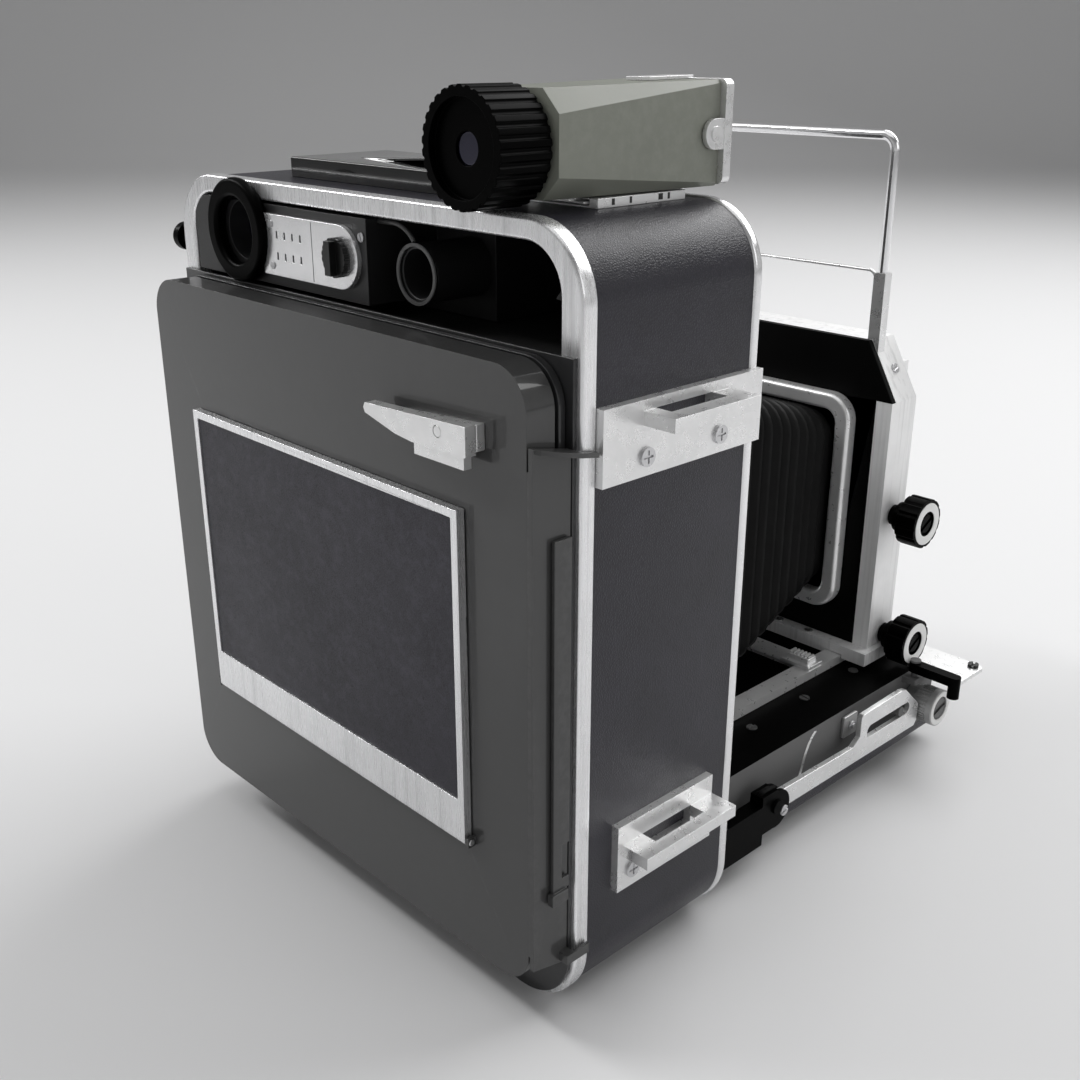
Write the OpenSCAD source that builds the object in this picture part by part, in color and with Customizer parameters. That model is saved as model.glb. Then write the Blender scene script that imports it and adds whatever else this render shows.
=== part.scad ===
// Folding-bed press camera, 4 x 5 inch format. Millimetres, +Z up, lens towards -Y.
// The origin is the mouth of the tripod socket, in the middle of the body's base.

/* [Body] */
// Width of the body across its rims
body_w = 180; // [176:1:184]
// Height of the body
body_h = 219.6; // [216:0.2:224]
// Rear face of the rear rim, behind the middle of the body
rim_back = 35; // [34:0.5:36]
// Front face of the front rim, ahead of the middle of the body
rim_front = 31; // [30:0.5:32]
// Radius of the two top corners
top_r = 19; // [14:1:22]
// Radius of the two bottom corners
bottom_r = 21; // [16:1:24]

/* [Back] */
// Width of the focusing panel
panel_w = 172.4; // [168:0.2:172.4]
// Height of the focusing panel
panel_h = 172.2; // [168:0.2:172.2]
// Thickness of the focusing panel
panel_t = 9; // [8:0.5:10]
// Width of the hinged lid over the ground glass
lid_w = 128; // [124:1:130]
// Height of the hinged lid over the ground glass
lid_h = 97; // [94:1:98]

/* [Bed] */
// Width of the bed casting
bed_w = 146; // [142:1:146]
// Length of the bed
bed_len = 146; // [140:1:148]
// Height of the bed's deck above the base
deck_z = 33.5; // [33:0.5:34]

/* [Front standard] */
// Width of the standard
std_w = 118; // [114:1:120]
// Height of the standard's top above the base
std_top = 158.5; // [154:0.5:160]
// Rear face of the standard, ahead of the middle of the body
std_y = 153.8; // [150:0.2:156]
// Depth of the standard
std_d = 16; // [14:0.5:17]
// Height of the lens axis above the base
lens_z = 96; // [95:0.5:97]

/* [Top finder] */
// Distance of the finder's axis from the body's centre line
finder_x = 58; // [56:0.5:58]
// Height of the finder's axis
finder_z = 234; // [234:0.5:236]
// Outer radius of the finder's eye ring
ring_r = 14; // [13:0.2:14]

/* [Hidden] */
$fn = 64;

// Body skin
rim_front_t = 3.25;
rim_back_t = 5.2;
skin_in = 0.5;
leather_t = 1.2;
shell_in = skin_in + leather_t;
wall = 3;
shell_y0 = -rim_front + rim_front_t;
shell_y1 = rim_back - rim_back_t;
cavity_x = body_w / 2 - shell_in - wall;
deck_top = 186;
cavity_top = 182;
gate_wall = 3.5;
gate_w = 124;
gate_z = [52, 150];
socket_r = 2.55;
socket_len = 9;
boss_r = 9;

// Rangefinder, in the top of the body
rf_z0 = 186.3;
rf_z1 = 213.4;
rf_x0 = -33.5;
rf_x1 = 81;
rf_step_x = -9;
rf_face_y = 35;
rf_deep_y = 10.8;
eye_x = 52.5;
eye_z = 204.9;
eye_r = 15.2;
eye_hole_r = 9.7;
eye_glass_r = 8.4;
knob_x = 2;
knob_z = 202.4;
plate_h = 17.4;
lamp_x = -24.5;
lamp_z = 200.3;
lamp_r = 8;

// Brackets on the camera's own right-hand side
side_x = body_w / 2;
bracket_t = 2;
screw_r = 1.5;
screw_hole_r = 1.55;
lug_y = 25.75;
lug_z = 197;
bracket_screw_yz = [[14.4, 162.5], [-13.8, 162.5], [15, 42.6], [-14, 42.6]];

// Finder
shoe_z = body_h - skin_in;
shoe_y0 = -22;
shoe_y1 = 10.5;
channel_z = shoe_z + 0.6;
lip_z = channel_z + 1.4;
lip_t = 0.5;
finder_z0 = 222;
finder_z1 = 248;
finder_rear_z1 = 247;
finder_front_y = -31.2;
finder_rear_y = 26;
ring_y0 = 27.2;
ring_y1 = 43;
eye_lens_r = 3.9;

// Back
frame_y = rim_back;
panel_y0 = 40;
panel_y1 = panel_y0 + panel_t;
panel_z0 = 16.5;
panel_r = 11;
pin_r = 2;
pin_x = 76;
pin_z = [28, 178];
cover_x = 86.8;
cover_t = 1.4;
lid_z0 = 53.3;
lid_y0 = panel_y1 + 0.3;
lid_t = 2.6;
lid_pin_r = 1;
lid_pin_y = lid_y0 + lid_t / 2;
lid_pin_z = lid_z0 + lid_t / 2;
leather_z0 = 67;
latch_x = -62;
latch_z = 170.8;
latch_y = panel_y1 + 3.2;

// Bed
hinge_y = -38;
hinge_z = 14;
hinge_r = 2;
bed_y1 = -35.3;
bed_y0 = bed_y1 - bed_len;
bed_floor = 7;
base_w = bed_w + 8;
arm_x = base_w / 2 + 0.5;
cheek_t = 1.3;
strut_x = arm_x + cheek_t + 0.3;
strut_t = 2;
pivot_y = -67.2;
pivot_z = 20.8;
pivot_r = 1.8;
slot_pin_y = -145;
slot_rear_y = -125;
slot_front_y = -148.5;
slot_pin_z = 26;
rail_x = 47.5;
rail_w = 7;
rail_top = 37.2;
track_y0 = -176;
track_y1 = -48;
end_plate_t = 1.8;
wing_x = 70;
lock_x = -76.2;
lock_y = -160.7;
lock_z = deck_z + end_plate_t + 0.3;
lever_t = 3.6;
shaft_y = -165;
shaft_z = 21.8;
shaft_r = 2;
focus_knob_r = 7.2;
pinion_r = 6;
tooth_pitch = PI;
rack_len = 34.5;

// Standard
foot_z0 = 35.9;
foot_z1 = 41;
pillar_w = 6.5;
pillar_top = 137.5;
chamfer_x = 12;
chamfer_z = 21;
plate_t = 2.5;
window_w = 80;
window_z = [59, 133];
upper_y = -161.8;
upper_z = 94;
lower_y = -163.5;
lower_z = 45.2;
hoop_x = 47.2;
hoop_y = -158.4;
wire_r = 1.65;
post_x = [44.9, 49.5];
post_y = [-160.6, -156.35];
post_z0 = 125.5;
post_top = 182;
cross_r = 0.6;
guide_x = 48.4;
guide_top = 149;

// Lens and shutter
board_y = -std_y - std_d - 0.4;
board_t = 3;
shutter_r = 33;
shutter_y = board_y - board_t;
shutter_t = 17;
lever_x = 26;
lever_z = lens_z + 27;

// ---- shared shapes ----

// Square with four rounded corners, standing on its lower edge
module round_plate(w, h, rt, rb) {
    translate([-w / 2 + rb, 0]) square([w - 2 * rb, h]);
    translate([-w / 2 + rt, rb]) square([w - 2 * rt, h - rb]);
    translate([-w / 2, rb]) square([w, h - rt - rb]);
    for (s = [-1, 1]) {
        translate([s * (w / 2 - rb), rb]) circle(rb);
        translate([s * (w / 2 - rt), h - rt]) circle(rt);
    }
}

// Extrudes an outline drawn in X and Z along Y, from y0 to y1
module along_y(y0, y1) {
    translate([0, y1, 0]) rotate([90, 0, 0]) linear_extrude(y1 - y0) children();
}

// Extrudes an outline drawn in Y and Z along X, from x0 to x1
module along_x(x0, x1) {
    translate([x0, 0, 0]) rotate([90, 0, 90]) linear_extrude(x1 - x0) children();
}

// Body outline, drawn in from the rims by d
module body_outline(d) {
    translate([0, d]) round_plate(body_w - 2 * d, body_h - 2 * d, top_r - d, bottom_r - d);
}

// Box given by its low and high corners
module box(a, b) {
    translate(a) cube(b - a);
}

// Round bar along Y
module rod_y(x, z, r, y0, y1) {
    translate([x, y1, z]) rotate([90, 0, 0]) cylinder(h = y1 - y0, r = r);
}

// Round bar along X
module rod_x(y, z, r, x0, x1) {
    translate([x0, y, z]) rotate([0, 90, 0]) cylinder(h = x1 - x0, r = r);
}

// ---- body ----

module body_shell() {
    color([0.12, 0.12, 0.13]) difference() {
        union() {
            difference() {
                along_y(shell_y0, shell_y1) body_outline(shell_in);
                box([-cavity_x, shell_y0 - 1, shell_in + wall],
                    [cavity_x, shell_y1 - gate_wall, cavity_top]);
                box([-gate_w / 2, shell_y1 - gate_wall - 1, gate_z[0]],
                    [gate_w / 2, shell_y1 + 1, gate_z[1]]);
            }
            difference() {
                along_y(bellows_rear, bellows_rear + 3) body_outline(shell_in + 1);
                box([-63, bellows_rear - 1, 46], [63, bellows_rear + 4, 170]);
            }
            cylinder(h = socket_len + 3, r = boss_r);
        }
        difference() {
            box([-82, shell_y0 + 3, deck_top], [82, shell_y1 + 1, rf_z1 + 0.2]);
            along_y(19, 25) polygon([[-83, 198], [-71, 199.5], [-76.5, 206.5], [-83, 207]]);
        }
        translate([0, 0, -1]) cylinder(h = socket_len + 1, r = socket_r);
        for (p = bracket_screw_yz) rod_x(p[0], p[1], screw_hole_r, -side_x, -side_x + 8);
        for (x = [-60, 52.5]) rod_y(x, eye_z, 7.05, shell_y0 - 1, shell_y0 + 4);
    }
}

module body_leather() {
    color([0.17, 0.16, 0.19]) difference() {
        along_y(shell_y0, shell_y1) body_outline(skin_in);
        along_y(shell_y0 - 1, shell_y1 + 1) body_outline(shell_in);
        translate([0, 0, -1]) cylinder(h = 4, r = boss_r + 0.1);
        for (p = bracket_screw_yz) rod_x(p[0], p[1], screw_hole_r, -side_x, -side_x + 8);
    }
}

// Ring that follows the body's outline, open inside
module rim(y0, y1, side, top, base, corner) {
    along_y(y0, y1) difference() {
        body_outline(0);
        translate([0, base])
            round_plate(body_w - 2 * side, body_h - top - base, corner, corner);
    }
}

module rear_rim() {
    color([0.86, 0.86, 0.87]) rim(shell_y1, rim_back, 7.4, 5.4, 7, 12);
}

module front_rim() {
    color([0.86, 0.86, 0.87]) difference() {
        rim(-rim_front, shell_y0, 6, 5, 6, 12);
        box([-cavity_x, -rim_front - 1, -1], [cavity_x, shell_y0 + 1, -0.5]);
    }
}

// Plate with a flat loop that a strap or grip hooks into
module strap_bracket(y0, y1, z0, z1, loop, slot, loop_z, reach) {
    difference() {
        union() {
            box([-side_x - bracket_t, y0, z0], [-side_x, y1, z1]);
            box([-side_x, max(y0, shell_y0), z0], [-side_x + skin_in, min(y1, shell_y1), z1]);
            box([-side_x - reach, loop[0], loop_z], [-side_x - bracket_t, loop[1], loop_z + 3.6]);
        }
        box([-side_x - bracket_t - 4.8, slot[0], loop_z - 2],
            [-side_x + skin_in + 1, slot[1], loop_z + 3.7]);
        for (p = bracket_screw_yz)
            rod_x(p[0], p[1], screw_hole_r, -side_x - bracket_t - 1, -side_x + 2);
    }
}

module strap_brackets() {
    color([0.85, 0.85, 0.86]) {
        strap_bracket(-30.8, 29.8, 157.5, 177, [-17.2, 15.8], [-10.2, 11.2], 170.6, 12);
        strap_bracket(-19.3, 20.8, 37, 58, [-19.3, 18.8], [-9.8, 10.8], 48.2, 11);
    }
}

module bracket_screws() {
    color([0.7, 0.7, 0.72]) for (p = bracket_screw_yz) {
        rod_x(p[0], p[1], screw_r, -side_x - bracket_t, -side_x + 6);
        difference() {
            rod_x(p[0], p[1], 2.5, -side_x - bracket_t - 0.8, -side_x - bracket_t);
            translate([-side_x - bracket_t - 0.8, p[0], p[1]]) {
                cube([0.8, 3.4, 0.6], center = true);
                cube([0.8, 0.6, 3.4], center = true);
            }
        }
    }
}

module strap_lug() {
    color([0.1, 0.1, 0.11]) {
        rod_x(lug_y, lug_z, 3.8, side_x - skin_in, side_x + 2);
        rod_x(lug_y, lug_z, 2.6, side_x + 2, side_x + 13);
        rod_x(lug_y, lug_z, 4.6, side_x + 13, side_x + 16.5);
    }
}

// ---- rangefinder ----

module rangefinder_housing() {
    color([0.08, 0.08, 0.09]) difference() {
        intersection() {
            union() {
                box([rf_x0, -20, rf_z0], [rf_x1, rf_deep_y, rf_z1]);
                box([rf_step_x, rf_deep_y - 1, 190.5], [rf_x1, rf_face_y, rf_z1]);
            }
            along_y(-21, rf_face_y + 1) translate([0, 20]) round_plate(165, rf_z1 - 19.5, 12, 12);
        }
        box([rf_x0 + 2, -18, rf_z0 + 2], [38, 8.6, rf_z1 - 2]);
        box([rf_step_x + 2, 8, 192.5], [38, 26, rf_z1 - 2]);
        rod_y(eye_x, eye_z, 7, -21, rf_face_y + 1);
        rod_y(eye_x, eye_z, eye_glass_r, 20, rf_face_y + 1);
        rod_y(knob_x, knob_z, 2.05, 25, rf_face_y + 1);
        rod_y(lamp_x, lamp_z, 5, 0, rf_deep_y + 1);
    }
}

module eyepiece_cup() {
    color([0.04, 0.04, 0.045]) difference() {
        rod_y(eye_x, eye_z, eye_r, rf_face_y, rf_face_y + 4);
        rod_y(eye_x, eye_z, eye_hole_r, rf_face_y - 1, rf_face_y + 5);
    }
}

// Eyepiece lens and the two front windows
module rangefinder_glass() {
    color([0.3, 0.33, 0.36]) {
        rod_y(eye_x, eye_z, eye_glass_r - 0.02, 26.5, 28.5);
        for (x = [-60, 52.5]) rod_y(x, eye_z, 7, shell_y0 + 0.6, shell_y0 + 2.4);
    }
}

// Stadium-ended plate beside the eyepiece, with plain index marks
module scale_plate() {
    color([0.87, 0.87, 0.88]) difference() {
        union() {
            box([knob_x, rf_face_y, knob_z - plate_h / 2], [40, rf_face_y + 1.6, knob_z + plate_h / 2]);
            rod_y(knob_x, knob_z, plate_h / 2, rf_face_y, rf_face_y + 1.6);
        }
        rod_y(knob_x, knob_z, 2.05, rf_face_y - 1, rf_face_y + 3);
        rod_y(eye_x, eye_z, eye_r + 0.1, rf_face_y - 1, rf_face_y + 3);
        for (row = [-1, 1], i = [0:3])
            box([20 + 4 * i, rf_face_y + 1.3, knob_z + row * 3 - 1],
                [20.8 + 4 * i, rf_face_y + 2, knob_z + row * 3 + 1]);
    }
}

module selector_knob() {
    color([0.25, 0.25, 0.27]) {
        rod_y(knob_x, knob_z, 2, 26, rf_face_y + 2);
        difference() {
            rod_y(knob_x, knob_z, 5.4, rf_face_y + 1.9, rf_face_y + 3.4);
            for (a = [0:20:340])
                translate([knob_x, rf_face_y + 2, knob_z]) rotate([0, a, 0])
                    translate([5.6, 0, 0]) rotate([90, 0, 0]) cylinder(h = 4, r = 0.5, center = true);
        }
        box([knob_x - 1.3, rf_face_y + 3, knob_z - 4.6], [knob_x + 1.3, rf_face_y + 5.4, knob_z + 4.6]);
    }
}

module lamp_tube() {
    color([0.07, 0.07, 0.075]) difference() {
        rod_y(lamp_x, lamp_z, lamp_r, rf_deep_y, 30);
        rod_y(lamp_x, lamp_z, lamp_r - 1.6, rf_deep_y + 2, 31);
    }
}

// Bezel of the lamp with its bent lead
module lamp_ring() {
    color([0.45, 0.45, 0.47]) {
        difference() {
            rod_y(lamp_x, lamp_z, lamp_r + 0.1, 30, 31);
            rod_y(lamp_x, lamp_z, lamp_r - 0.8, 29, 32);
        }
        translate([lamp_x + 8.9, 30.7, lamp_z + 1.3]) rotate([90, 0, 0])
            rotate_extrude(angle = 50, start = 90) translate([11, 0]) circle(0.6);
        rod_x(30.7, lamp_z + 12.3, 0.6, lamp_x + 8.9, rf_step_x);
    }
}

// ---- top of the body ----

// Low black cover on the top, with a thin blade rising over its front part
module top_cover() {
    z = 225;
    color([0.05, 0.05, 0.055]) {
        box([-36, -19, shoe_z], [52, 17.6, z]);
        along_y(-19, 5.5) polygon([[35, z - 0.1], [-34, z + 4.1], [-34, z + 3.2], [18, z - 0.1]]);
    }
}

module finder_shoe() {
    color([0.85, 0.85, 0.86]) difference() {
        box([-finder_x - 12.4, shoe_y0, shoe_z], [-finder_x + 12.4, shoe_y1, lip_z + lip_t]);
        box([-finder_x - 9.4, shoe_y0 + 1, channel_z], [-finder_x + 9.4, shoe_y1 + 1, lip_z]);
        box([-finder_x - 6.4, shoe_y0 + 1, channel_z], [-finder_x + 6.4, shoe_y1 + 1, lip_z + 1]);
    }
}

module finder_foot() {
    color([0.85, 0.85, 0.86]) {
        box([-finder_x - 9.1, shoe_y0 + 1.3, channel_z + 0.3], [-finder_x + 9.1, 12, lip_z - 0.3]);
        box([-finder_x - 6, shoe_y0 + 1.3, lip_z - 0.4], [-finder_x + 6, 12, finder_z0]);
    }
}

// Eight-sided slice of the finder, w wide and from z0 to z1, its corners cut by c
module finder_slice(y, w, z0, z1, c) {
    translate([-finder_x, y, 0]) rotate([90, 0, 0]) linear_extrude(0.1) polygon([
        [-w / 2 + c, z0], [w / 2 - c, z0], [w / 2, z0 + c], [w / 2, z1 - c],
        [w / 2 - c, z1], [-w / 2 + c, z1], [-w / 2, z1 - c], [-w / 2, z0 + c]]);
}

module finder_housing() {
    color([0.5, 0.515, 0.475]) {
        difference() {
            hull() {
                finder_slice(finder_rear_y, 29.6, finder_z0, finder_rear_z1, 5.5);
                finder_slice(finder_front_y + 0.1, 30, finder_z0, finder_z1, 0.8);
            }
            hull() {
                finder_slice(finder_rear_y - 2, 25.6, finder_z0 + 2, finder_rear_z1 - 2, 5);
                finder_slice(finder_front_y - 1, 26, finder_z0 + 2, finder_z1 - 2, 0.8);
            }
            rod_y(-finder_x, finder_z, 5.5, finder_rear_y - 3, finder_rear_y + 1);
        }
        difference() {
            rod_y(-finder_x, finder_z, 9, finder_rear_y, 36.4);
            rod_y(-finder_x, finder_z, 5.5, finder_rear_y - 1, 38);
        }
    }
}

module finder_front_plate() {
    plate_y = finder_front_y - 3;
    top = [finder_z1 + 0.05, finder_z1 - 0.2];
    color([0.86, 0.86, 0.87]) {
        difference() {
            along_y(plate_y, finder_front_y) translate([-finder_x, 222.4])
                round_plate(33.6, 25.9, 2, 2);
            along_y(plate_y - 1, finder_front_y + 1) translate([-finder_x, 225.7])
                round_plate(25, 19.6, 1, 1);
        }
        for (s = [-1, 1]) {
            box([-finder_x + s * 15.9 - 0.7, finder_front_y, 231.2],
                [-finder_x + s * 15.9 + 0.7, finder_front_y + 3.2, 238.8]);
            rod_x(finder_front_y + 3.2, 235, 3.8, -finder_x + s * 15.9 - 0.7,
                -finder_x + s * 15.9 + 0.7);
            side_rod(-1, finder_front_y + 3.2, 235, 2, finder_x + s * 15.9,
                finder_x + s * 17.2);
        }
        along_x(-finder_x - 4, -finder_x + 4) polygon([[plate_y + 1, top[0]], [plate_y + 1, top[0] + 0.9],
            [finder_front_y + 15, top[1] + 0.9], [finder_front_y + 15, top[1]],
            [finder_front_y, top[0]]]);
    }
}

module finder_front_glass() {
    color([0.35, 0.4, 0.42]) along_y(finder_front_y - 2.2, finder_front_y - 0.6)
        translate([-finder_x, 225.7]) round_plate(25, 19.6, 1, 1);
}

module finder_eye_ring() {
    color([0.05, 0.05, 0.055]) difference() {
        rod_y(-finder_x, finder_z, ring_r, ring_y0, ring_y1);
        rod_y(-finder_x, finder_z, 9.3, ring_y0 - 1, ring_y1 - 3.8);
        rod_y(-finder_x, finder_z, 11.4, ring_y1 - 2, ring_y1 + 1);
        rod_y(-finder_x, finder_z, eye_lens_r, ring_y0, ring_y1 + 1);
        for (a = [0:12:348])
            translate([-finder_x, ring_y0 - 1, finder_z]) rotate([0, a, 0])
                translate([ring_r + 0.3, 0, 0]) rotate([-90, 0, 0]) cylinder(h = 20, r = 0.8);
    }
}

module finder_eye_lens() {
    color([0.2, 0.22, 0.25]) rod_y(-finder_x, finder_z, eye_lens_r - 0.02, ring_y1 - 3.6, ring_y1 - 2.6);
}

// ---- back ----

// Square plate of the back, with the picture window cut through it
module back_plate(y0, y1, w, grow) {
    along_y(y0, y1) difference() {
        translate([0, panel_z0 - grow])
            round_plate(w, panel_h + 2 * grow, panel_r + grow, panel_r + grow);
        translate([0, gate_z[0]]) round_plate(gate_w, gate_z[1] - gate_z[0], 2, 2);
    }
}

module back_frame() {
    color([0.2, 0.2, 0.21]) {
        along_y(frame_y, frame_y + 1.3) difference() {
            body_outline(1.6);
            translate([-body_w / 2, panel_z0 + panel_h + 0.9]) square([body_w, 40]);
            translate([0, gate_z[0]]) round_plate(gate_w, gate_z[1] - gate_z[0], 2, 2);
        }
        back_plate(frame_y + 1.2, frame_y + 1.8, panel_w - 2, -1.2);
        back_plate(frame_y + 1.7, frame_y + 3.9, panel_w + 0.2, 0.2);
        for (s = [-1, 1], z = pin_z) rod_y(s * pin_x, z, pin_r, frame_y + 3.8, panel_y0 + 6);
    }
}

module back_panel() {
    color([0.3, 0.3, 0.3]) {
        difference() {
            back_plate(panel_y0, panel_y1, panel_w, 0);
            for (s = [-1, 1], z = pin_z)
                rod_y(s * pin_x, z, pin_r + 0.05, panel_y0 - 1, panel_y0 + 7);
        }
        for (s = [-1, 1]) difference() {
            box([s * 64.9 - 0.6, panel_y1 - 0.1, lid_z0 - 0.2],
                [s * 64.9 + 0.6, lid_pin_y + 1.2, lid_pin_z + 1.4]);
            rod_x(lid_pin_y, lid_pin_z, lid_pin_r, s * 66 - 3, s * 66 + 3);
        }
    }
}

// Plate on the side of the back that carries the film-lock slide and two clips
module side_cover() {
    color([0.27, 0.27, 0.275]) {
        along_x(-cover_x - cover_t, -cover_x) polygon([
            [frame_y + 1.6, 21], [panel_y1, 24], [panel_y1, 170.8], [frame_y + 1.6, 166]]);
        difference() {
            box([-91.4, 31, 22.6], [-panel_w / 2 - 0.6, frame_y + 4.4, 25.6]);
            box([-90.4, 30, 21.6], [-panel_w / 2 + 1.3, frame_y + 1.6, 26.6]);
        }
        translate([0, panel_y1, 169.6]) rotate([12, 0, 0]) linear_extrude(1.2) polygon([
            [-87, 0], [-89.4, -1.4], [-91.6, -6], [-92.4, -12], [-91.8, -18.6], [-90.5, -19],
            [-90.4, -12.6], [-87, -12.2]]);
        box([-cover_x, panel_y0, 28], [-panel_w / 2, panel_y1, 165]);
    }
}

// Film-lock slide with its finger notch and hook
module lock_slide() {
    x0 = -cover_x - cover_t - 1.5;
    x1 = -cover_x - cover_t - 0.3;
    color([0.3, 0.3, 0.3]) {
        difference() {
            box([x0, 37.4, 47], [x1, 43.2, 147]);
            box([x0 - 1, 36.8, 50.5], [x1 + 1, 40, 61]);
        }
        box([x0 - 0.9, 38.4, 43.5], [x1, 44.2, 47]);
    }
}

module ground_glass() {
    color([0.75, 0.78, 0.78]) box([-61.8, 43, gate_z[0] + 0.2], [61.8, 45, gate_z[1] - 0.2]);
}

module lid_hinge_pin() {
    color([0.8, 0.8, 0.82]) rod_x(lid_pin_y, lid_pin_z, lid_pin_r, -65.8, 65.8);
}

module lid_frame() {
    color([0.86, 0.86, 0.87]) difference() {
        union() {
            box([-lid_w / 2, lid_y0, lid_pin_z], [lid_w / 2, lid_y0 + lid_t, lid_z0 + lid_h]);
            rod_x(lid_pin_y, lid_pin_z, lid_t / 2, -lid_w / 2, lid_w / 2);
        }
        rod_x(lid_pin_y, lid_pin_z, lid_pin_r + 0.05, -lid_w / 2 - 1, lid_w / 2 + 1);
        box([-lid_w / 2 + 2.4, lid_y0 + 1.4, leather_z0],
            [lid_w / 2 - 2.4, lid_y0 + lid_t + 1, lid_z0 + lid_h - 2.4]);
    }
}

module lid_leather() {
    color([0.16, 0.155, 0.185]) box([-lid_w / 2 + 2.5, lid_y0 + 1.4, leather_z0 + 0.1],
        [lid_w / 2 - 2.5, lid_y0 + 2.2, lid_z0 + lid_h - 2.5]);
}

module latch_base() {
    color([0.8, 0.8, 0.82]) {
        along_y(panel_y1, panel_y1 + 2.8) polygon([[-42, 171.4], [-42, 169], [-51, 166.6],
            [-72, 167], [-72, 173.7]]);
        rod_y(latch_x, latch_z, 1.5, panel_y1, latch_y + 3.3);
    }
}

module latch_lever() {
    color([0.87, 0.87, 0.88]) difference() {
        union() {
            along_y(latch_y, latch_y + 3.3) polygon([[-33.2, 172.3], [-32.6, 171], [-33.2, 169.7],
                [-45.4, 166.7], [-52, 166], [-72.3, 166.4], [-72.3, 174]]);
            box([-70.6, latch_y, 162.8], [-51.8, latch_y + 2.4, 167]);
        }
        rod_y(latch_x, latch_z, 1.55, latch_y - 1, latch_y + 5);
    }
}

// ---- bed ----

// Side of the camera mirrored: box from the low to the high distance off the centre line
module side_box(s, x0, x1, y0, y1, z0, z1) {
    box([min(s * x0, s * x1), y0, z0], [max(s * x0, s * x1), y1, z1]);
}

module side_rod(s, y, z, r, x0, x1) {
    rod_x(y, z, r, min(s * x0, s * x1), max(s * x0, s * x1));
}

module hinge_arms() {
    x1 = strut_x + strut_t + 0.3 + cheek_t;
    color([0.05, 0.05, 0.055]) for (s = [-1, 1]) {
        difference() {
            union() {
                side_box(s, arm_x, x1, -60, -31.4, 9, 24);
                side_box(s, arm_x, x1, -32, -12, 14, 24);
                side_box(s, arm_x, cavity_x, -26, -12, 14, 24);
                side_box(s, arm_x, x1, pivot_y, -59, 13, 27.5);
                side_rod(s, pivot_y, pivot_z - 1, 7, arm_x, x1);
            }
            side_box(s, arm_x + cheek_t, x1 - cheek_t, -80, -60, 5, 40);
            side_rod(s, hinge_y, hinge_z, hinge_r, arm_x - 1, x1 + 1);
        }
        side_rod(s, pivot_y, pivot_z, pivot_r, arm_x + cheek_t - 0.1, x1 - cheek_t + 0.1);
        side_rod(s, pivot_y, pivot_z, 2.6, x1, x1 + 0.7);
    }
}

module bed_hinge_pin() {
    color([0.8, 0.8, 0.82]) rod_x(hinge_y, hinge_z, hinge_r, -strut_x - 3.2, strut_x + 3.2);
}

// Deck casting: base flange, walls, deck, hinge knuckle, strut studs and lock-lever post
module bed_casting() {
    w = bed_w / 2;
    color([0.06, 0.06, 0.065]) {
        difference() {
            union() {
                box([-base_w / 2, bed_y0, 11.9], [base_w / 2, bed_y1 - 2, 15]);
                difference() {
                    box([-w, bed_y0, 14], [w, bed_y1, deck_z]);
                    box([-w + 2.5, bed_y0 + 3, 14.5], [w - 2.5, bed_y1 - 6, deck_z - 2.5]);
                }
                rod_x(hinge_y, hinge_z, 5, -base_w / 2, base_w / 2);
                box([-78.6, -164, deck_z - 2.4], [-w + 2, -157.4, deck_z]);
            }
            rod_x(hinge_y, hinge_z, hinge_r + 0.05, -base_w, base_w);
            rod_x(shaft_y, shaft_z, shaft_r + 0.05, -base_w, base_w);
            for (s = [-1, 1])
                side_box(s, rail_x - 3.2, rail_x + 3.2, bed_y0 - 1, -118, deck_z - 7, deck_z + 1);
        }
        for (s = [-1, 1]) {
            side_rod(s, slot_pin_y, slot_pin_z, pivot_r, w - 1, strut_x + strut_t + 0.1);
        }
        translate([lock_x, lock_y, deck_z - 1]) cylinder(h = 7, r = 1.2);
        translate([lock_x, lock_y, lock_z + lever_t + 0.3]) cylinder(h = 0.8, r = 2);
    }
}

module bed_leather() {
    color([0.17, 0.16, 0.19]) difference() {
        along_y(bed_y0, bed_y1 - 2) translate([0, bed_floor]) round_plate(base_w, 4.86, 0.1, 2.3);
        rod_x(hinge_y, hinge_z, 5.05, -base_w, base_w);
    }
}

// Side struts, slotted at the front over the bed's studs
module bed_struts() {
    reach = pivot_r + 0.6;
    color([0.88, 0.88, 0.89]) for (s = [-1, 1]) difference() {
        along_x(min(s * strut_x, s * (strut_x + strut_t)), max(s * strut_x, s * (strut_x + strut_t)))
            union() {
                polygon([[pivot_y, pivot_z - 3.7], [-155.8, 16], [-157.3, 18], [-157.3, 25],
                    [-147, 34.4], [-144, 35], [-119, 34.5], [-118, 33.5], [-118, 26], [-114, 23.2],
                    [pivot_y, pivot_z + 3.7]]);
                translate([pivot_y, pivot_z]) circle(3.7);
            }
        rod_x(pivot_y, pivot_z, pivot_r + 0.3, -100, 100);
        box([-100, slot_front_y, slot_pin_z - reach], [100, slot_rear_y, slot_pin_z + reach]);
        for (y = [slot_front_y, slot_rear_y]) rod_x(y, slot_pin_z, reach, -100, 100);
    }
}

// Front cross plate, open over the rails, with a wing on each side
module bed_end_plate() {
    color([0.88, 0.88, 0.89]) translate([0, 0, deck_z]) linear_extrude(end_plate_t) {
        translate([-rail_x + 4.4, -184]) square([2 * rail_x - 8.8, 7.4]);
        for (s = [-1, 1]) polygon([[s * (rail_x + 4.4), -184], [s * 91, -184], [s * 92.6, -182],
            [s * 92.6, -165.5], [s * 90, -163.6], [s * 79.2, -163.6], [s * 79.2, -166],
            [s * wing_x, -166], [s * wing_x, -176.6], [s * (rail_x + 4.4), -176.6]]);
    }
}

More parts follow.
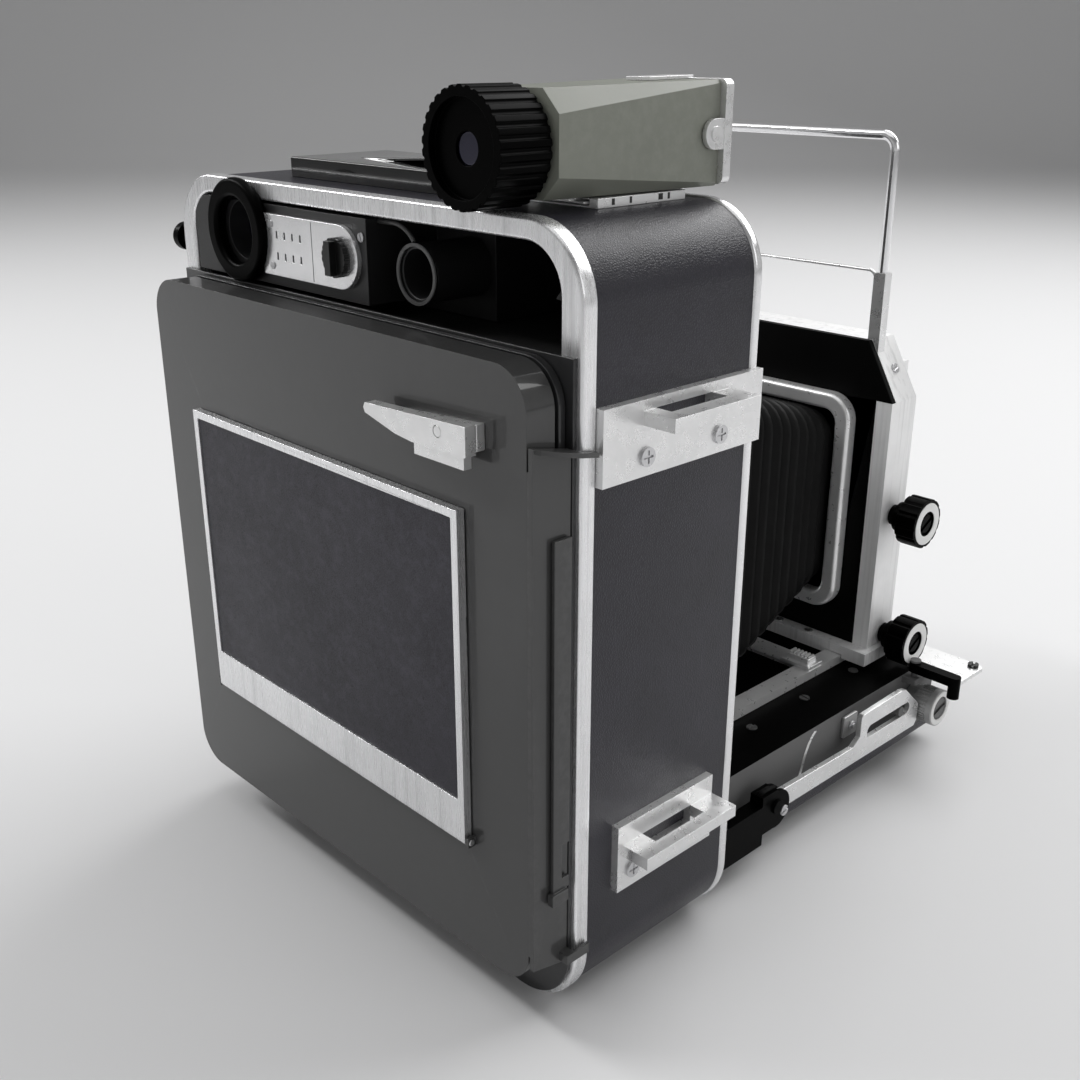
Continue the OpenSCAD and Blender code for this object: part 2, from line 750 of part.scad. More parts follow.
// Black grip with a turned-down tip that locks the focusing track
module track_lock_lever() {
    color([0.05, 0.05, 0.055]) difference() {
        union() {
            box([-92.6, lock_y - 2.2, lock_z], [lock_x, lock_y + 2.2, lock_z + lever_t]);
            translate([-92.6, lock_y, lock_z - 5]) cylinder(h = 5 + lever_t, r = 2.2);
            translate([lock_x, lock_y, lock_z]) cylinder(h = lever_t, r = 2.2);
        }
        translate([lock_x, lock_y, lock_z - 1]) cylinder(h = 6, r = 1.25);
    }
}

// One rail's rack: teeth pointing down at the pinion
module rack(x) {
    along_x(x - 2.4, x + 2.4) difference() {
        translate([shaft_y - 4.5, shaft_z + pinion_r - 0.7]) square([rack_len, 8]);
        for (i = [-2:10]) {
            y = shaft_y + i * tooth_pitch;
            polygon([[y - 1.45, shaft_z + pinion_r - 1], [y + 1.45, shaft_z + pinion_r - 1],
                [y + 0.75, shaft_z + pinion_r + 1.1], [y - 0.75, shaft_z + pinion_r + 1.1]]);
        }
    }
}

// Twin rails joined by two cross bars, with a rack under each rail
module focus_track() {
    color([0.87, 0.87, 0.88]) {
        for (s = [-1, 1]) {
            box([s * rail_x - rail_w / 2, track_y0, deck_z + 0.3],
                [s * rail_x + rail_w / 2, track_y1, rail_top]);
            rack(s * rail_x);
        }
        for (y = [-74, -142]) box([-rail_x, y, deck_z + 0.3], [rail_x, y + 10, deck_z + 1.6]);
    }
}

// Stepped blocks clamped to the rails, where the standard comes to rest
module standard_stops() {
    x = rail_x - 3.4;
    color([0.85, 0.85, 0.86]) for (s = [-1, 1]) {
        box([s * x - 6.6, -137, rail_top], [s * x + 6.6, -128, rail_top + 1.6]);
        box([s * x - 4.8, -135.4, rail_top + 1.6], [s * x + 4.8, -130, rail_top + 3.4]);
    }
}

// Pinion with twelve teeth
module pinion(x) {
    translate([x, shaft_y, shaft_z]) rotate([90, 0, 90]) linear_extrude(3.6, center = true) union() {
        circle(pinion_r - 1.2);
        for (a = [0:30:330]) rotate(a) polygon([[-1, 4], [1, 4], [0.95, 5], [0.6, pinion_r],
            [0.3, pinion_r + 0.7], [-0.3, pinion_r + 0.7], [-0.6, pinion_r], [-0.95, 5]]);
    }
}

module focus_shaft() {
    color([0.7, 0.7, 0.72]) {
        rod_x(shaft_y, shaft_z, shaft_r, -85, 85);
        for (s = [-1, 1]) pinion(s * rail_x);
    }
}

// Focusing knobs on both ends of the shaft
module focus_knobs() {
    color([0.6, 0.6, 0.62]) for (s = [-1, 1]) difference() {
        union() {
            side_rod(s, shaft_y, shaft_z, focus_knob_r - 1.4, 73.6, 78);
            side_rod(s, shaft_y, shaft_z, focus_knob_r - 0.4, 77.6, 84);
            side_rod(s, shaft_y, shaft_z, focus_knob_r, 83.6, 86);
        }
        side_rod(s, shaft_y, shaft_z, shaft_r + 0.02, 70, 85);
        side_rod(s, shaft_y, shaft_z, focus_knob_r - 2.6, 85, 87);
    }
}

// ---- bellows and standard ----

function lerp(a, b, t) = a + (b - a) * t;
pleats = 19;
bellows_w = [75, 138];
bellows_z0 = [61.8, 41];
bellows_z1 = [130.2, 175];
bellows_front = -std_y + 0.3;
bellows_rear = -9;

// One square-cornered ring of the bellows at part t of its length, out by f
module bellows_ring(t, f) {
    w = lerp(bellows_w[0], bellows_w[1], t) + 2 * f;
    z0 = lerp(bellows_z0[0], bellows_z0[1], t) - f;
    z1 = lerp(bellows_z1[0], bellows_z1[1], t) + f;
    translate([0, lerp(bellows_front, bellows_rear, t), 0]) rotate([90, 0, 0])
        linear_extrude(0.2) translate([0, z0]) square_ring(w, z1 - z0, 7);
}

module square_ring(w, h, c) {
    polygon([[-w / 2 + c, 0], [w / 2 - c, 0], [w / 2, c], [w / 2, h - c],
        [w / 2 - c, h], [-w / 2 + c, h], [-w / 2, h - c], [-w / 2, c]]);
}

// Pleated tube from the standard into the body, open through the middle
module bellows() {
    color([0.05, 0.05, 0.055]) difference() {
        for (i = [0:pleats - 1]) {
            hull() {
                bellows_ring(i / pleats, -3);
                bellows_ring((i + 0.5) / pleats, 0);
            }
            hull() {
                bellows_ring((i + 0.5) / pleats, 0);
                bellows_ring((i + 1) / pleats, -3);
            }
        }
        hull() {
            bellows_ring(-0.02, -4.2);
            bellows_ring(1.02, -4.2);
        }
    }
}

// Outline of the standard's housing, with its two top corners cut off
module standard_outline(w, z0, z1, cx, cz) {
    polygon([[-w / 2, z0], [w / 2, z0], [w / 2, z1 - cz], [w / 2 - cx, z1],
        [-w / 2 + cx, z1], [-w / 2, z1 - cz]]);
}

// Foot, uprights, shallow housing and the front guides that the lens board slides in
module standard_frame() {
    y0 = -std_y - std_d;
    color([0.87, 0.87, 0.88]) difference() {
        union() {
            box([-std_w / 2 - 2.5, y0 - 1, foot_z0], [std_w / 2 + 2.5, -std_y + 5, foot_z1]);
            for (s = [-1, 1]) {
                side_box(s, std_w / 2 - pillar_w, std_w / 2, y0, -std_y, foot_z1 - 1, pillar_top);
                side_box(s, guide_x, guide_x + 3, board_y - board_t - 1.7, y0, foot_z1, guide_top);
                side_box(s, guide_x - 2, guide_x + 3, board_y - board_t - 1.7,
                    board_y - board_t - 0.4, foot_z1, guide_top);
            }
            difference() {
                along_y(y0, -std_y - plate_t)
                    standard_outline(std_w, foot_z1 - 1, std_top, chamfer_x, chamfer_z);
                along_y(y0 + 2.4, -std_y) standard_outline(std_w - 5, foot_z1, std_top - 2.5,
                    chamfer_x - 1, chamfer_z - 1);
            }
        }
        along_y(y0 - 1, y0 + 3) translate([-window_w / 2, window_z[0] - 2])
            square([window_w, window_z[1] - window_z[0] + 8]);
        for (s = [-1, 1]) {
            box([s * rail_x - rail_w / 2 - 0.3, y0 - 2, foot_z0 - 1],
                [s * rail_x + rail_w / 2 + 0.3, -std_y + 6, rail_top + 0.3]);
            side_box(s, post_x[0] - 0.02, post_x[1] + 0.02, post_y[0] - 0.02, post_y[1] + 0.02,
                post_z0 - 0.02, post_top);
        }
        for (p = [[upper_y, upper_z], [lower_y, lower_z]])
            rod_x(p[0], p[1], 2.05, -std_w / 2 - 1, -std_w / 2 + 8);
    }
}

// Black rear plate of the standard, between and above the uprights
module standard_plate() {
    gap = 0.02;
    color([0.03, 0.03, 0.035]) difference() {
        along_y(-std_y - plate_t + gap, -std_y) difference() {
            standard_outline(std_w, foot_z1, std_top, chamfer_x, chamfer_z);
            for (s = [-1, 1]) translate([s * (std_w / 2 - pillar_w / 2) - pillar_w / 2 - gap, 0])
                square([pillar_w + 2 * gap, pillar_top + gap]);
            translate([-window_w / 2, window_z[0]])
                square([window_w, window_z[1] - window_z[0]]);
        }
    }
}

module bellows_frame() {
    color([0.82, 0.82, 0.83]) along_y(-std_y, -std_y + 6) difference() {
        translate([0, 53.7]) round_plate(91, 84.6, 10, 10);
        translate([0, 59.9]) round_plate(78.6, 72.2, 5, 5);
    }
}

// Clamp knob on the standard's side: stem, collar and scalloped grip with a sunk centre
module lock_knob(y, z) {
    x = -std_w / 2;
    color([0.05, 0.05, 0.055]) {
        rod_x(y, z, 2, x - 1, x + 7);
        rod_x(y, z, 5.5, x - 7, x - 2.9);
        rod_x(y, z, 3.8, x - 3, x - 0.4);
        difference() {
            rod_x(y, z, 9.2, x - 14.4, x - 6.6);
            for (a = [0:30:330])
                translate([x - 15, y, z]) rotate([a, 0, 0]) translate([0, 9.9, 0])
                    rotate([0, 90, 0]) cylinder(h = 9, r = 1.1);
            rod_x(y, z, 4.6, x - 15, x - 13.4);
        }
    }
}

module upper_lock_knob() {
    lock_knob(upper_y, upper_z);
}

module lower_lock_knob() {
    lock_knob(lower_y, lower_z);
}

// Flat sockets for the hoop's legs, with the thin lower cross wire between their tops
module hoop_posts() {
    z = post_top + 0.4;
    color([0.8, 0.8, 0.82]) {
        for (s = [-1, 1]) {
            difference() {
                side_box(s, post_x[0], post_x[1], post_y[0], post_y[1], post_z0, post_top);
                translate([s * hoop_x, hoop_y, post_z0 - 1]) cylinder(h = 70, r = wire_r + 0.1);
            }
            translate([s * (post_x[0] - 3.5), hoop_y, z - 3]) rotate([90, 0, 0])
                rotate_extrude(angle = 90, start = s > 0 ? 0 : 90) translate([3, 0]) circle(cross_r);
            translate([s * (post_x[0] - 0.5), hoop_y, z - 9]) cylinder(h = 6, r = cross_r);
        }
        rod_x(hoop_y, z, cross_r, -post_x[0] + 3.5, post_x[0] - 3.5);
    }
}

// Sports-finder hoop
module wire_hoop() {
    top = 228;
    r = 5;
    color([0.86, 0.86, 0.87]) {
        for (s = [-1, 1]) {
            translate([s * hoop_x, hoop_y, 148]) cylinder(h = top - r - 148, r = wire_r);
            translate([s * (hoop_x - r), hoop_y, top - r]) rotate([90, 0, 0])
                rotate_extrude(angle = 90, start = s > 0 ? 0 : 90) translate([r, 0]) circle(wire_r);
        }
        rod_x(hoop_y, top, wire_r, -hoop_x + r, hoop_x - r);
    }
}

// ---- lens and shutter ----

module lens_board() {
    color([0.07, 0.07, 0.075]) difference() {
        along_y(board_y - board_t, board_y) translate([0, lens_z - 46])
            round_plate(96, 92, 6, 6);
        rod_y(0, lens_z, 20, board_y - board_t - 1, board_y + 1);
    }
}

module shutter_case() {
    color([0.09, 0.09, 0.1]) difference() {
        union() {
            rod_y(0, lens_z, shutter_r, shutter_y - shutter_t, shutter_y);
            rod_y(0, lens_z, 20, shutter_y, board_y + 9);
            for (s = [-1, 1]) {
                rod_y(s * lever_x, lever_z, 5, shutter_y - 2.7, shutter_y);
                rod_y(s * lever_x, lever_z, 1.2, shutter_y - 5.6, shutter_y);
            }
        }
        rod_y(0, lens_z, 14, shutter_y - shutter_t - 1, board_y + 10);
        rod_y(0, lens_z, 24.3, shutter_y - shutter_t - 1, shutter_y - shutter_t + 5);
    }
}

module lens_barrel() {
    y = shutter_y - shutter_t;
    color([0.08, 0.08, 0.085]) difference() {
        union() {
            rod_y(0, lens_z, 24, y - 4.6, y + 5);
            rod_y(0, lens_z, 21, y - 15, y - 4);
        }
        rod_y(0, lens_z, 16, y - 16, y + 6);
    }
}

// Front element, iris blades and rear element
module lens_glass() {
    y = shutter_y - shutter_t;
    color([0.25, 0.28, 0.34]) {
        rod_y(0, lens_z, 16, y - 11, y - 6);
        rod_y(0, lens_z, 14, shutter_y + 6, shutter_y + 10);
    }
    color([0.1, 0.1, 0.1]) difference() {
        rod_y(0, lens_z, 14, shutter_y - 9, shutter_y - 8.4);
        rod_y(0, lens_z, 6, shutter_y - 10, shutter_y - 8);
    }
}

module aperture_ring() {
    y = shutter_y - shutter_t;
    color([0.75, 0.75, 0.77]) {
        difference() {
            rod_y(0, lens_z, 31, y - 3, y - 0.3);
            rod_y(0, lens_z, 24.3, y - 4, y + 1);
        }
        box([-2, y - 4.6, lens_z - 35], [2, y - 0.6, lens_z - 29]);
    }
}

module speed_ring() {
    y = shutter_y - 9;
    color([0.82, 0.82, 0.83]) difference() {
        rod_y(0, lens_z, shutter_r + 2.6, y - 5, y);
        rod_y(0, lens_z, shutter_r + 0.3, y - 6, y + 1);
        for (a = [0:10:350])
            translate([0, y - 6, lens_z]) rotate([0, a, 0]) translate([shutter_r + 2.9, 0, 0])
                rotate([-90, 0, 0]) cylinder(h = 7, r = 0.8);
    }
}

// Lever beside the shutter, turning on its own stud, with a finger tab at its tip
module shutter_lever(x, dir, len) {
    translate([x, shutter_y - 3, lever_z]) rotate([0, dir, 0]) difference() {
        union() {
            rotate([90, 0, 0]) cylinder(h = 1.6, r = 2.8);
            translate([0, -1.6, -1.4]) cube([len, 1.6, 2.8]);
            translate([len - 2, -4, -1.4]) cube([2, 4, 2.8]);
        }
        translate([0, 1, 0]) rotate([90, 0, 0]) cylinder(h = 4, r = 1.25);
    }
}

module cocking_lever() {
    color([0.85, 0.85, 0.86]) shutter_lever(-lever_x, -120, 15);
}

module release_lever() {
    color([0.85, 0.85, 0.86]) shutter_lever(lever_x, -60, 13);
}

body_shell();
body_leather();
rear_rim();
front_rim();
strap_brackets();
bracket_screws();
strap_lug();
rangefinder_housing();
eyepiece_cup();
rangefinder_glass();
scale_plate();
selector_knob();
lamp_tube();
lamp_ring();
top_cover();
finder_shoe();
finder_foot();
finder_housing();
finder_front_plate();
finder_front_glass();
finder_eye_ring();
finder_eye_lens();
back_frame();
back_panel();
side_cover();
lock_slide();
ground_glass();
lid_hinge_pin();
lid_frame();
lid_leather();
latch_base();
latch_lever();
hinge_arms();
bed_hinge_pin();
bed_casting();
bed_leather();
bed_struts();
bed_end_plate();
track_lock_lever();
focus_track();
standard_stops();
focus_shaft();
focus_knobs();
bellows();
standard_frame();
standard_plate();
bellows_frame();
upper_lock_knob();
lower_lock_knob();
hoop_posts();
wire_hoop();
lens_board();
shutter_case();
lens_barrel();
lens_glass();
aperture_ring();
speed_ring();
cocking_lever();
release_lever();
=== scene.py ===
import math
import random

import bmesh
import bpy
from mathutils import Matrix, Quaternion, Vector


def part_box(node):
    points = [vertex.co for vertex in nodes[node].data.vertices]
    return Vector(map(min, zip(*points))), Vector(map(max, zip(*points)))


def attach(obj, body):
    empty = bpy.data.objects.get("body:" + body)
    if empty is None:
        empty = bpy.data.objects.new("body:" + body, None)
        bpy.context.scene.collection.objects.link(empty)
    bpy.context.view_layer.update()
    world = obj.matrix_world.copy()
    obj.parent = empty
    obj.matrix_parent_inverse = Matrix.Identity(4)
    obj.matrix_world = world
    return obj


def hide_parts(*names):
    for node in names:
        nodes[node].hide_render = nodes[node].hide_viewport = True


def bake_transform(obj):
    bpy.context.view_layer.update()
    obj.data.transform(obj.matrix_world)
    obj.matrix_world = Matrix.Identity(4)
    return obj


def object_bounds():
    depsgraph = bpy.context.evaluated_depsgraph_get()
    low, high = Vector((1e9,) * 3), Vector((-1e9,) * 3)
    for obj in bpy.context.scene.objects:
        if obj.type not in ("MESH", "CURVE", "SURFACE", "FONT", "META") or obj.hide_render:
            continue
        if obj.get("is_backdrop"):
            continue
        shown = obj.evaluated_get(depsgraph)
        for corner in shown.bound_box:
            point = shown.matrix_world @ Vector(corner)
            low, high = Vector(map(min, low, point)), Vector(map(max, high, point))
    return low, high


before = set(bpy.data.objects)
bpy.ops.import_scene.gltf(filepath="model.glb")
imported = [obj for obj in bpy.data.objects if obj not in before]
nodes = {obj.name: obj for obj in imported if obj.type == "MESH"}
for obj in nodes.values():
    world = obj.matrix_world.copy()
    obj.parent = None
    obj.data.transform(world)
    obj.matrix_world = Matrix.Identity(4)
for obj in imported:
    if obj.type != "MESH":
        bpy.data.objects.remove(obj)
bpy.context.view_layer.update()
MM = 0.001

# ---------------------------------------------------------------- materials


class Graph:
    """A material's node tree with short helpers. Sizes are in millimetres of the object's own frame."""

    def __init__(self, name):
        self.mat = bpy.data.materials.new(name)
        self.mat.use_nodes = True
        self.nt = self.mat.node_tree
        self.nt.nodes.clear()
        self.out = self.nt.nodes.new("ShaderNodeOutputMaterial")
        self.bsdf = self.nt.nodes.new("ShaderNodeBsdfPrincipled")
        self.nt.links.new(self.bsdf.outputs[0], self.out.inputs[0])
        self.coord = self.nt.nodes.new("ShaderNodeTexCoord").outputs["Object"]
        self.height = None

    def link(self, a, b):
        self.nt.links.new(a, b)

    def mapped(self, scale=(1, 1, 1)):
        m = self.nt.nodes.new("ShaderNodeMapping")
        m.inputs["Scale"].default_value = [s / MM for s in scale]
        self.link(self.coord, m.inputs["Vector"])
        return m.outputs[0]

    def noise(self, size, detail=3, rough=0.55, scale=(1, 1, 1)):
        """Noise whose lumps are about size mm across; scale squeezes it along an axis."""
        n = self.nt.nodes.new("ShaderNodeTexNoise")
        n.inputs["Scale"].default_value = 1 / size
        n.inputs["Detail"].default_value = detail
        n.inputs["Roughness"].default_value = rough
        self.link(self.mapped(scale), n.inputs["Vector"])
        return n.outputs["Fac"]

    def cells(self, size):
        """Distance from the borders of irregular cells about size mm across."""
        n = self.nt.nodes.new("ShaderNodeTexVoronoi")
        n.feature = "DISTANCE_TO_EDGE"
        n.inputs["Scale"].default_value = 1 / size
        self.link(self.mapped(), n.inputs["Vector"])
        return n.outputs["Distance"]

    def ramp(self, value, lo, hi, a=0.0, b=1.0):
        n = self.nt.nodes.new("ShaderNodeMapRange")
        for key, v in (("From Min", lo), ("From Max", hi), ("To Min", a), ("To Max", b)):
            n.inputs[key].default_value = v
        self.link(value, n.inputs["Value"])
        return n.outputs[0]

    def math(self, op, a, b=None):
        n = self.nt.nodes.new("ShaderNodeMath")
        n.operation = op
        for i, v in enumerate((a, b)):
            if v is None:
                continue
            if isinstance(v, (int, float)):
                n.inputs[i].default_value = v
            else:
                self.link(v, n.inputs[i])
        return n.outputs[0]

    def mix(self, fac, a, b):
        n = self.nt.nodes.new("ShaderNodeMix")
        n.data_type = "RGBA"
        if isinstance(fac, (int, float)):
            n.inputs[0].default_value = fac
        else:
            self.link(fac, n.inputs[0])
        for i, v in ((6, a), (7, b)):
            if isinstance(v, tuple):
                n.inputs[i].default_value = (*v, 1)
            else:
                self.link(v, n.inputs[i])
        return n.outputs[2]

    def edges(self, lo=0.52, hi=0.6):
        """1 on sharp outer edges, 0 elsewhere."""
        g = self.nt.nodes.new("ShaderNodeNewGeometry")
        return self.ramp(g.outputs["Pointiness"], lo, hi)

    def beyond(self, axis, limit):
        """1 where the distance along axis from the centre is over limit mm."""
        n = self.nt.nodes.new("ShaderNodeSeparateXYZ")
        self.link(self.coord, n.inputs[0])
        return self.math("GREATER_THAN", self.math("ABSOLUTE", n.outputs[axis]), limit * MM)

    def set(self, name, value):
        s = self.bsdf.inputs[name]
        if isinstance(value, (int, float)):
            s.default_value = value
        elif isinstance(value, tuple):
            s.default_value = (*value, 1) if len(value) == 3 else value
        else:
            self.link(value, s)

    def bump(self, height, strength, depth):
        """Adds a bump of depth mm under the ones before it."""
        n = self.nt.nodes.new("ShaderNodeBump")
        n.inputs["Strength"].default_value = strength
        n.inputs["Distance"].default_value = depth * MM
        self.link(height, n.inputs["Height"])
        if self.height is not None:
            self.link(self.height, n.inputs["Normal"])
        self.height = n.outputs[0]
        self.link(n.outputs[0], self.bsdf.inputs["Normal"])


def painted(name, color, rough, wear=0.0, peel=0.02, metal=0.0, size=2.5, coat=0.0, spec=0.5, side=None):
    """Enamel with orange peel, fine changes of roughness and lighter worn edges.
    side is (distance in mm, colour) for the faces further out than that along X."""
    g = Graph(name)
    spots = g.noise(14, 4)
    base = g.mix(g.ramp(spots, 0.35, 0.7), tuple(c * 0.96 for c in color), tuple(c * 1.04 for c in color))
    if wear:
        chips = g.math("MULTIPLY", g.edges(), g.ramp(g.noise(3, 5, 0.7), 0.42, 0.62))
        base = g.mix(g.math("MULTIPLY", chips, wear), base, tuple(min(1, c * 1.35 + 0.06) for c in color))
    if side:
        base = g.mix(g.beyond("X", side[0]), base, side[1])
    g.set("Base Color", base)
    g.set("Metallic", metal)
    g.set("Specular IOR Level", spec)
    fine = g.noise(0.7, 3, 0.6)
    g.set("Roughness", g.ramp(g.math("ADD", g.math("MULTIPLY", spots, 0.6), g.math("MULTIPLY", fine, 0.4)),
        0.3, 0.7, rough * 0.86, min(1, rough * 1.16)))
    if coat:
        g.set("Coat Weight", coat)
        g.set("Coat Roughness", 0.06)
    g.bump(g.noise(size, 2, 0.5), 0.35, peel)
    g.bump(g.noise(0.35, 2, 0.6), 0.2, peel * 0.4)
    return g.mat


def enamel(name, color):
    """Stove enamel under a clear, smooth coat."""
    return painted(name, color, 0.34, wear=0.15, peel=0.008, coat=0.6, spec=0.12)


def leather(name, color, grain, rough, depth, sheen):
    """Fine pebbled leather: rounded cells with creases between them, over soft lumps."""
    g = Graph(name)
    cells = g.cells(grain)
    small = g.cells(grain * 0.48)
    pebble = g.ramp(cells, 0.0, 0.34)
    crease = g.ramp(cells, 0.0, 0.12)
    tone = g.noise(22, 4, 0.6)
    base = g.mix(g.ramp(tone, 0.35, 0.68), tuple(c * 0.82 for c in color), tuple(c * 1.16 for c in color))
    # Painted shade: the creases between the pebbles are darkened
    base = g.mix(g.math("MULTIPLY", g.ramp(crease, 1, 0), 0.5), base, tuple(c * 0.35 for c in color))
    scuff = g.math("MULTIPLY", g.edges(0.53, 0.6), g.ramp(g.noise(4, 4, 0.7), 0.48, 0.66))
    base = g.mix(g.math("MULTIPLY", scuff, 0.35), base, tuple(c * 2.0 + 0.01 for c in color))
    g.set("Base Color", base)
    g.set("Roughness", g.ramp(g.math("ADD", g.math("MULTIPLY", tone, 0.5), g.math("MULTIPLY", crease, 0.5)),
        0.2, 0.85, rough * 1.3, rough * 0.86))
    g.set("Specular IOR Level", sheen)
    g.bump(g.noise(7, 3, 0.5), 0.22, depth * 1.6)
    g.bump(pebble, 0.5, depth)
    g.bump(g.ramp(small, 0, 0.3), 0.22, depth * 0.4)
    return g.mat


def chrome(name, color=(0.86, 0.86, 0.87), rough=0.22, streak=None, metal=1.0, hollow_shade=0.5):
    """Satin chrome. streak names the axis the polishing lines run along."""
    g = Graph(name)
    tone = g.noise(9, 4, 0.6)
    dark = tuple(c * 0.78 for c in color)
    base = g.mix(g.ramp(tone, 0.4, 0.66, 0, 0.22), color, dark)
    if streak:
        long = {"X": (0.02, 1, 1), "Y": (1, 0.02, 1), "Z": (1, 1, 0.02)}[streak]
        lines = g.noise(0.55, 4, 0.65, long)
        wide = g.noise(2.6, 3, 0.6, long)
        shade = g.math("MULTIPLY", g.ramp(wide, 0.52, 0.72), 0.42)
        base = g.mix(shade, base, tuple(c * 0.5 for c in color))
        g.set("Roughness", g.ramp(lines, 0.3, 0.72, rough * 0.75, rough * 1.5))
        g.bump(lines, 0.3, 0.012)
    else:
        g.set("Roughness", g.ramp(g.noise(3.2, 5, 0.65), 0.3, 0.72, rough * 0.75, rough * 1.35))
    # Painted shade: hollows and inner corners (low pointiness) are darkened, standing in for shade and dark
    # reflections there
    hollow_shade_mask = g.math("MULTIPLY", g.ramp(g.math("SUBTRACT", 1, g.edges(0.40, 0.485)), 0.5, 1), hollow_shade)
    base = g.mix(hollow_shade_mask, base, tuple(c * 0.45 for c in color))
    g.set("Base Color", base)
    g.set("Metallic", metal)
    g.bump(g.noise(0.5, 3, 0.6), 0.12, 0.01)
    return g.mat


def glass(name, color, rough=0.02):
    """Coated lens glass: dark body, bright tinted reflections."""
    g = Graph(name)
    g.set("Base Color", color)
    g.set("Roughness", g.ramp(g.noise(6, 4, 0.6), 0.4, 0.8, rough, rough + 0.05))
    g.set("Metallic", 0.0)
    g.set("Coat Weight", 1.0)
    g.set("Coat Roughness", 0.02)
    g.set("Coat Tint", (0.75, 0.72, 1.0))
    g.set("Specular IOR Level", 0.75)
    g.bump(g.noise(18, 2), 0.05, 0.05)
    return g.mat


def cloth(name, color):
    """Matt bellows cloth: fine plain weave over soft wrinkles, with a painted highlight along the folds."""
    g = Graph(name)
    weave = g.math("MULTIPLY", g.noise(0.5, 1, 0.5, (1, 1, 0.25)), g.noise(0.5, 1, 0.5, (1, 0.25, 1)))
    tone = g.noise(6, 4, 0.6)
    base = g.mix(g.ramp(tone, 0.35, 0.68), tuple(c * 0.8 for c in color), tuple(c * 1.25 for c in color))
    # Painted highlight: sharp fold ridges (high pointiness) are made paler
    base = g.mix(g.math("MULTIPLY", g.edges(0.53, 0.62), 0.6), base, tuple(c * 2.6 + 0.004 for c in color))
    g.set("Base Color", base)
    g.set("Roughness", g.ramp(tone, 0.3, 0.7, 0.5, 0.68))
    g.set("Specular IOR Level", 0.14)
    g.bump(g.noise(3.5, 3, 0.6), 0.3, 0.12)
    g.bump(weave, 0.5, 0.05)
    return g.mat


M = {
    "leather": leather("leather_blueblack", (0.0145, 0.0135, 0.0215), 0.72, 0.33, 0.09, 0.42),
    "lid_leather": leather("leather_lid", (0.024, 0.0225, 0.0315), 0.6, 0.45, 0.035, 0.35),
    "enamel": enamel("enamel_grey", (0.052, 0.052, 0.052)),
    "enamel_dark": enamel("enamel_dark", (0.026, 0.026, 0.027)),
    "black_matt": painted("black_matt", (0.012, 0.012, 0.012), 0.5, peel=0.02, spec=0.5),
    "black_recess": painted("black_recess", (0.014, 0.014, 0.0145), 0.4, peel=0.02, spec=0.5),
    "black_satin": painted("black_satin", (0.003, 0.003, 0.003), 0.32, wear=0.08, spec=0.4),
    "black_gloss": painted("black_gloss", (0.002, 0.002, 0.0022), 0.08, peel=0.001, coat=0.6),
    "deck": painted("deck_black", (0.0004, 0.0004, 0.0004), 0.5, peel=0.02, spec=0.03,
        side=(72.9, (0.16, 0.16, 0.16))),
    "plate_black": painted("plate_black", (0.0008, 0.0008, 0.0008), 0.5, peel=0.02, spec=0.08),
    "green": painted("finder_enamel", (0.205, 0.214, 0.182), 0.4, wear=0.15, peel=0.02, size=0.9),
    "rubber": painted("moulded_black", (0.0004, 0.0004, 0.0004), 0.34, peel=0.008, spec=0.03),
    "white_ring": painted("white_ring", (0.80, 0.80, 0.79), 0.35),
    "lamp_grey": painted("lamp_grey", (0.10, 0.10, 0.10), 0.36, metal=0.4),
    "chrome": chrome("chrome_satin", metal=0.8),
    "chrome_z": chrome("chrome_lines_z", streak="Z", rough=0.26, metal=0.8),
    "chrome_cast": chrome("chrome_cast", (0.90, 0.90, 0.90), rough=0.32, metal=0.6, hollow_shade=0.0),
    "wire": chrome("chrome_bright", rough=0.14, metal=0.9),
    "steel": chrome("steel", (0.6, 0.6, 0.61), 0.3),
    "silver_paint": chrome("silver_satin", (0.82, 0.82, 0.82), rough=0.3, metal=0.75, hollow_shade=0.0),
    "silver_cast": chrome("silver_cast", (0.93, 0.93, 0.93), rough=0.4, metal=0.2, hollow_shade=0.0, streak="Z"),
    "knob_grey": painted("knob_grey", (0.42, 0.42, 0.42), 0.36, metal=0.5),
    "slot_dark": painted("slot_dark", (0.02, 0.02, 0.02), 0.5),
    "glass": glass("glass_coated", (0.010, 0.011, 0.016)),
    "screen": painted("ground_screen", (0.55, 0.58, 0.58), 0.6),
    "bellows": cloth("bellows_cloth", (0.0028, 0.0028, 0.0028)),
}

